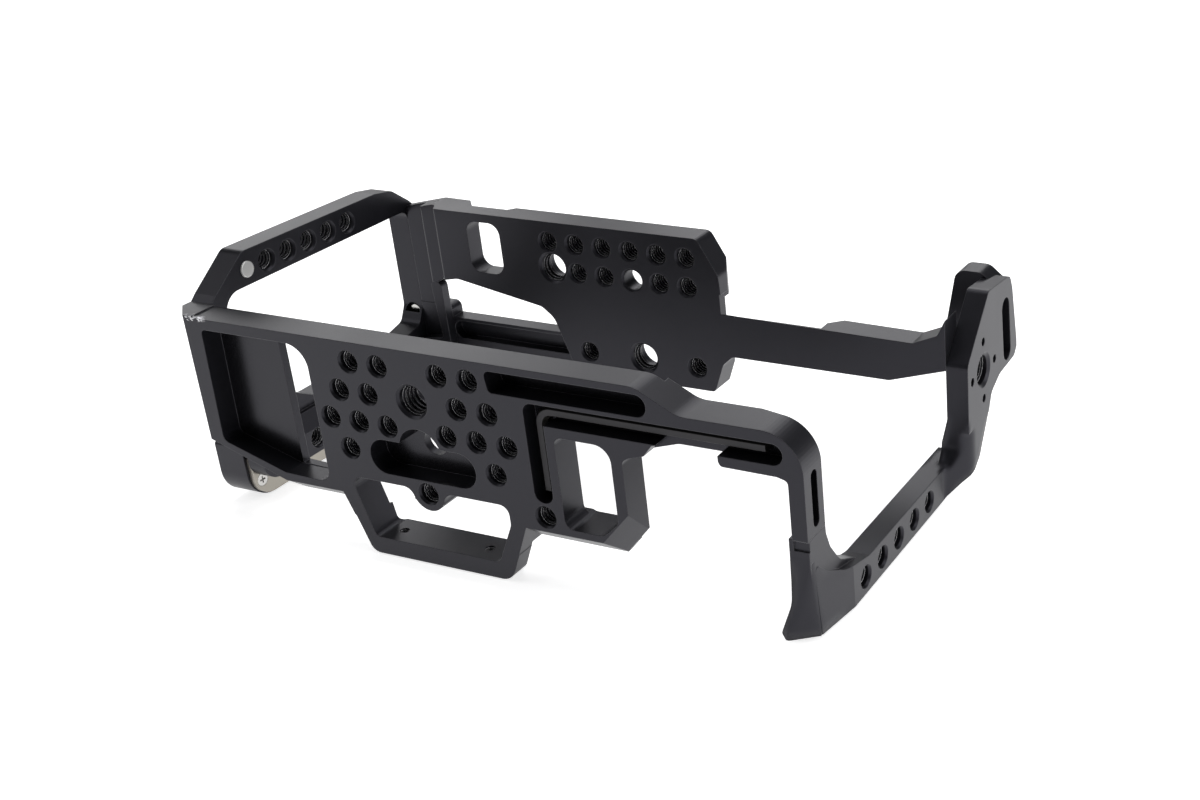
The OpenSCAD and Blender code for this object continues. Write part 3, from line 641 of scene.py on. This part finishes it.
@dataclass
class TappedWall:
    """Threads cut through one wall, lead_mm behind their mouths on one face."""

    name: str
    mounts: tuple[str, ...]
    form: ThreadForm
    into: Vector
    face: float
    length_mm: float
    lead_mm: float = 0.7
    body: str = "root"
    smooth_deg: float = 35.0

    def build(self) -> bpy.types.Object:
        """Models one ridge, copies it into each hole and joins the copies.

        Returns:
            The joined piece.
        """
        along = max(range(3), key=lambda axis: abs(self.into[axis]))
        turned = Vector((0, 0, 1)).rotation_difference(self.into).to_matrix().to_4x4()
        copies: list[bpy.types.Object] = []
        model: Optional[bpy.types.Object] = None
        for name in self.mounts:
            mount = mount_named(name)
            bore = mount["dims"].get("r_mm", mount["dims"].get("hole_r_mm")) * MM
            if model is None:
                model = self.form.bead(bore, self.length_mm * MM)
            for point in hole_places(mount):
                point[along] = self.face + self.into[along] * self.lead_mm * MM
                ridge = model.copy()
                ridge.data = model.data.copy()
                bpy.context.scene.collection.objects.link(ridge)
                ridge.matrix_world = Matrix.Translation(point) @ turned
                copies.append(ridge)
        bpy.data.objects.remove(model)
        deselect()
        for ridge in copies:
            ridge.select_set(True)
        bpy.context.view_layer.objects.active = copies[0]
        if len(copies) > 1:
            bpy.ops.object.join()
        piece = bpy.context.object
        bpy.ops.object.transform_apply(location=True, rotation=True, scale=True)
        bpy.ops.object.shade_smooth_by_angle(angle=math.radians(self.smooth_deg))
        piece.name = self.name
        piece.data.name = self.name
        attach(piece, self.body)
        return piece


# ---- sub-assemblies ----


@dataclass
class SubAssembly:
    """CAD nodes that belong together, the threads cut in them and their finishes."""

    coats: dict[str, Coat] = field(default_factory=dict)
    walls: list[TappedWall] = field(default_factory=list)
    pieces: list[bpy.types.Object] = field(default_factory=list)

    def build(self) -> None:
        """Models the threads."""
        self.pieces = [wall.build() for wall in self.walls]

    def dress(self, finishes: Finishes) -> None:
        """Puts the finishes on nodes and threads.

        Args:
            finishes: The finishes to choose from.
        """
        for node, coat in self.coats.items():
            finishes.on_node(node, coat)
        for piece in self.pieces:
            finishes.on_piece(piece, Coat.THREAD)


@dataclass
class BasePlate(SubAssembly):
    """The base plate with its grid of camera threads."""

    plate_mm: float = 9.4
    rim_mm: float = 0.7
    bar_mm: float = 5.4

    def __post_init__(self) -> None:
        """Lists the plate's threads."""
        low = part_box("base_plate")[0]
        cut = self.plate_mm - self.rim_mm
        inward = Vector((0, 1, 0))
        grid = ("base_inner_pattern", "base_outer_pattern", "base_wide_pattern",
                "base_middle_pair", "base_long_pair", "base_lug_thread", "base_low_thread")
        self.coats = {"base_plate": Coat.MILLED}
        self.walls = [
            TappedWall("base_grid_threads", grid, QUARTER, inward, low[1], cut),
            TappedWall("base_centre_threads", ("base_centre_thread",), THREE_EIGHTHS, inward,
                       low[1], cut),
            TappedWall("loop_threads", ("loop_tapped_pair",), FINE, Vector((0, 0, 1)), low[2],
                       self.bar_mm, lead_mm=0.0)]


@dataclass
class TopPlate(SubAssembly):
    """The top plate with its rows of threads."""

    plate_mm: float = 9.0
    rim_mm: float = 0.7
    relief_mm: float = 3.2

    def __post_init__(self) -> None:
        """Lists the plate's threads."""
        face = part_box("top_plate")[0][1]
        cut = self.plate_mm - self.rim_mm
        inward = Vector((0, 1, 0))
        small = ("top_outer_pattern", "top_inner_pattern", "top_row_first", "top_row_middle",
                 "top_low_pair")
        large = ("top_large_thread", "top_low_large_thread")
        self.coats = {"top_plate": Coat.ANODISED, "front_rail": Coat.ANODISED,
                      "rail_screws": Coat.OXIDE}
        self.walls = [
            TappedWall("top_small_threads", small, QUARTER, inward, face, cut),
            TappedWall("top_large_threads", large, THREE_EIGHTHS, inward, face,
                       cut - self.relief_mm)]


@dataclass
class SideFrame(SubAssembly):
    """The side frame with its two rows of threads, its screw and its pin."""

    frame_mm: float = 8.0
    flange_mm: float = 6.0
    rim_mm: float = 0.7

    def __post_init__(self) -> None:
        """Lists the frame's threads."""
        low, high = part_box("side_frame")
        outward = Vector((-1, 0, 0))
        upper = ("side_upper_outer_pair", "side_upper_inner_pair", "side_upper_middle")
        lower = ("side_lower_outer_pair", "side_lower_inner_pair", "side_lower_middle")
        self.coats = {"side_frame": Coat.ANODISED, "frame_screw": Coat.POLISHED,
                      "far_pin": Coat.STAINLESS, "near_corner_pins": Coat.OXIDE,
                      "far_corner_screws": Coat.OXIDE}
        self.walls = [
            TappedWall("side_upper_threads", upper, QUARTER, outward,
                       low[0] + self.frame_mm * MM, self.frame_mm - self.rim_mm),
            TappedWall("side_lower_threads", lower, QUARTER, outward, high[0],
                       self.flange_mm - self.rim_mm)]


@dataclass
class GripFrame(SubAssembly):
    """The grip frame with the beam's row of threads and the wing's large one."""

    beam_mm: float = 7.0
    wing_mm: float = 6.9
    rim_mm: float = 0.7
    beam_proud_mm: float = 2.5

    def __post_init__(self) -> None:
        """Lists the frame's threads."""
        beam_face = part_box("base_plate")[1][0] + self.beam_proud_mm * MM
        wing_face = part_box("grip_frame")[1][0]
        inward = Vector((-1, 0, 0))
        row = ("beam_outer_pair", "beam_inner_pair", "beam_middle")
        self.coats = {"grip_frame": Coat.FORGED, "strut_pins": Coat.OXIDE,
                      "arm_pins": Coat.OXIDE}
        self.walls = [
            TappedWall("beam_threads", row, QUARTER, inward, beam_face,
                       self.beam_mm - self.rim_mm),
            TappedWall("wing_threads", ("wing_thread",), THREE_EIGHTHS, inward, wing_face,
                       self.wing_mm - self.rim_mm)]


@dataclass
class KeyStore(SubAssembly):
    """The hex key in its groove and the magnets that hold it."""

    def __post_init__(self) -> None:
        """Lists the nodes."""
        self.coats = {"hex_key": Coat.OXIDE, "key_magnets": Coat.MAGNET}


@dataclass
class WearBlock(SubAssembly):
    """The block under the side frame with its nickel plate and screws."""

    def __post_init__(self) -> None:
        """Lists the nodes."""
        self.coats = {"side_block": Coat.ANODISED, "wear_plate": Coat.NICKEL,
                      "wear_plate_screws": Coat.STAINLESS, "block_screws": Coat.OXIDE}


@dataclass
class CableClamp(SubAssembly):
    """The clamp's jaw, stud, washer and knob."""

    def __post_init__(self) -> None:
        """Lists the nodes."""
        self.coats = {"clamp_jaw": Coat.ANODISED, "clamp_stud": Coat.STAINLESS,
                      "clamp_washer": Coat.STAINLESS, "clamp_knob": Coat.ANODISED}


# ---- camera and studio ----


@dataclass
class ViewCamera:
    """The camera, placed from the low, near, left corner of the base plate."""

    offset_mm: Triple = (374.379, -317.161, 236.488)
    tilt_deg: float = 65.0204
    roll_deg: float = 2.1589
    turn_deg: float = 23.5219
    lens_mm: float = 49.2927
    sensor_mm: float = 36.0
    shift_x: float = -0.24592
    clip: Span = (0.01, 50.0)

    def build(self) -> None:
        """Adds the camera."""
        view = bpy.data.cameras.new("view_camera")
        view.sensor_fit = "HORIZONTAL"
        view.sensor_width = self.sensor_mm
        view.lens = self.lens_mm
        view.shift_x = self.shift_x
        view.clip_start, view.clip_end = self.clip
        holder = bpy.data.objects.new("view_camera", view)
        holder.location = Vector(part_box("base_plate")[0]) + Vector(self.offset_mm) * MM
        holder.rotation_euler = [math.radians(turn) for turn in
                                 (self.tilt_deg, self.roll_deg, self.turn_deg)]
        bpy.context.scene.collection.objects.link(holder)
        bpy.context.scene.camera = holder
        LOG.info("camera at %s", tuple(round(part, 4) for part in holder.location))


@dataclass(frozen=True)
class Softbox:
    """A square area light that points at the cage."""

    name: str
    place: Triple
    width: float
    watts: float

    def build(self, target: Vector) -> None:
        """Adds the light.

        Args:
            target: The point that it faces.
        """
        lamp = bpy.data.lights.new(self.name, "AREA")
        lamp.shape = "SQUARE"
        lamp.size = self.width
        lamp.energy = self.watts
        holder = bpy.data.objects.new(self.name, lamp)
        holder.location = self.place
        holder.rotation_euler = (target - Vector(self.place)).to_track_quat("-Z", "Y").to_euler()
        holder.visible_camera = False
        bpy.context.scene.collection.objects.link(holder)


@dataclass
class Studio:
    """Pale floor, even sky and softboxes."""

    floor_width: float = 60.0
    floor_height: float = -0.0005
    floor_colour: Colour = (0.93, 0.93, 0.93)
    floor_roughness: float = 0.9
    floor_specular: float = 0.1
    floor_glow: float = 0.8
    sky_colour: Colour = (0.95, 0.97, 1.0)
    sky_strength: float = 0.07
    aim: Triple = (0.0, 0.0, 0.04)
    boxes: tuple[Softbox, ...] = (
        Softbox("top_softbox", (0.1, 0.3, 1.1), 1.1, 7.0),
        Softbox("grip_side_softbox", (0.95, 0.15, 0.4), 0.7, 4.5),
        Softbox("back_left_softbox", (-0.9, 0.8, 0.5), 0.5, 1.7),
        Softbox("back_softbox", (-0.35, 1.05, 0.62), 0.6, 2.6),
        Softbox("front_left_softbox", (-0.85, -0.5, 0.7), 0.7, 2.2))

    def build(self) -> None:
        """Adds floor, sky and lights."""
        sky = bpy.data.worlds.new("studio_sky")
        sky.use_nodes = True
        ground = sky.node_tree.nodes["Background"]
        ground.inputs["Color"].default_value = opaque(self.sky_colour)
        ground.inputs["Strength"].default_value = self.sky_strength
        bpy.context.scene.world = sky
        graph = Graph("pale_floor")
        graph.close(graph.add("ShaderNodeBsdfPrincipled", {}, {
            "Base Color": opaque(self.floor_colour), "Roughness": self.floor_roughness,
            "Specular IOR Level": self.floor_specular,
            "Emission Color": opaque(self.floor_colour), "Emission Strength": self.floor_glow}))
        deselect()
        bpy.ops.mesh.primitive_plane_add(size=self.floor_width,
                                         location=(0.0, 0.0, self.floor_height))
        floor = bpy.context.object
        floor.name = "studio_floor"
        floor.data.materials.append(graph.material)
        for box in self.boxes:
            box.build(Vector(self.aim))
        bpy.context.scene.view_settings.view_transform = "Standard"


def main() -> None:
    """Builds and dresses every sub-assembly, then sets the camera and the studio."""
    ViewCamera().build()
    finishes = Finishes()
    parts: tuple[SubAssembly, ...] = (BasePlate(), TopPlate(), SideFrame(), GripFrame(),
                                      KeyStore(), WearBlock(), CableClamp())
    for part in parts:
        part.build()
        part.dress(finishes)
        LOG.info("%s: %d nodes, %d new pieces", type(part).__name__, len(part.coats),
                 len(part.pieces))
    Studio().build()


if __name__ == "__main__":
    logging.basicConfig(level=logging.INFO)
    main()
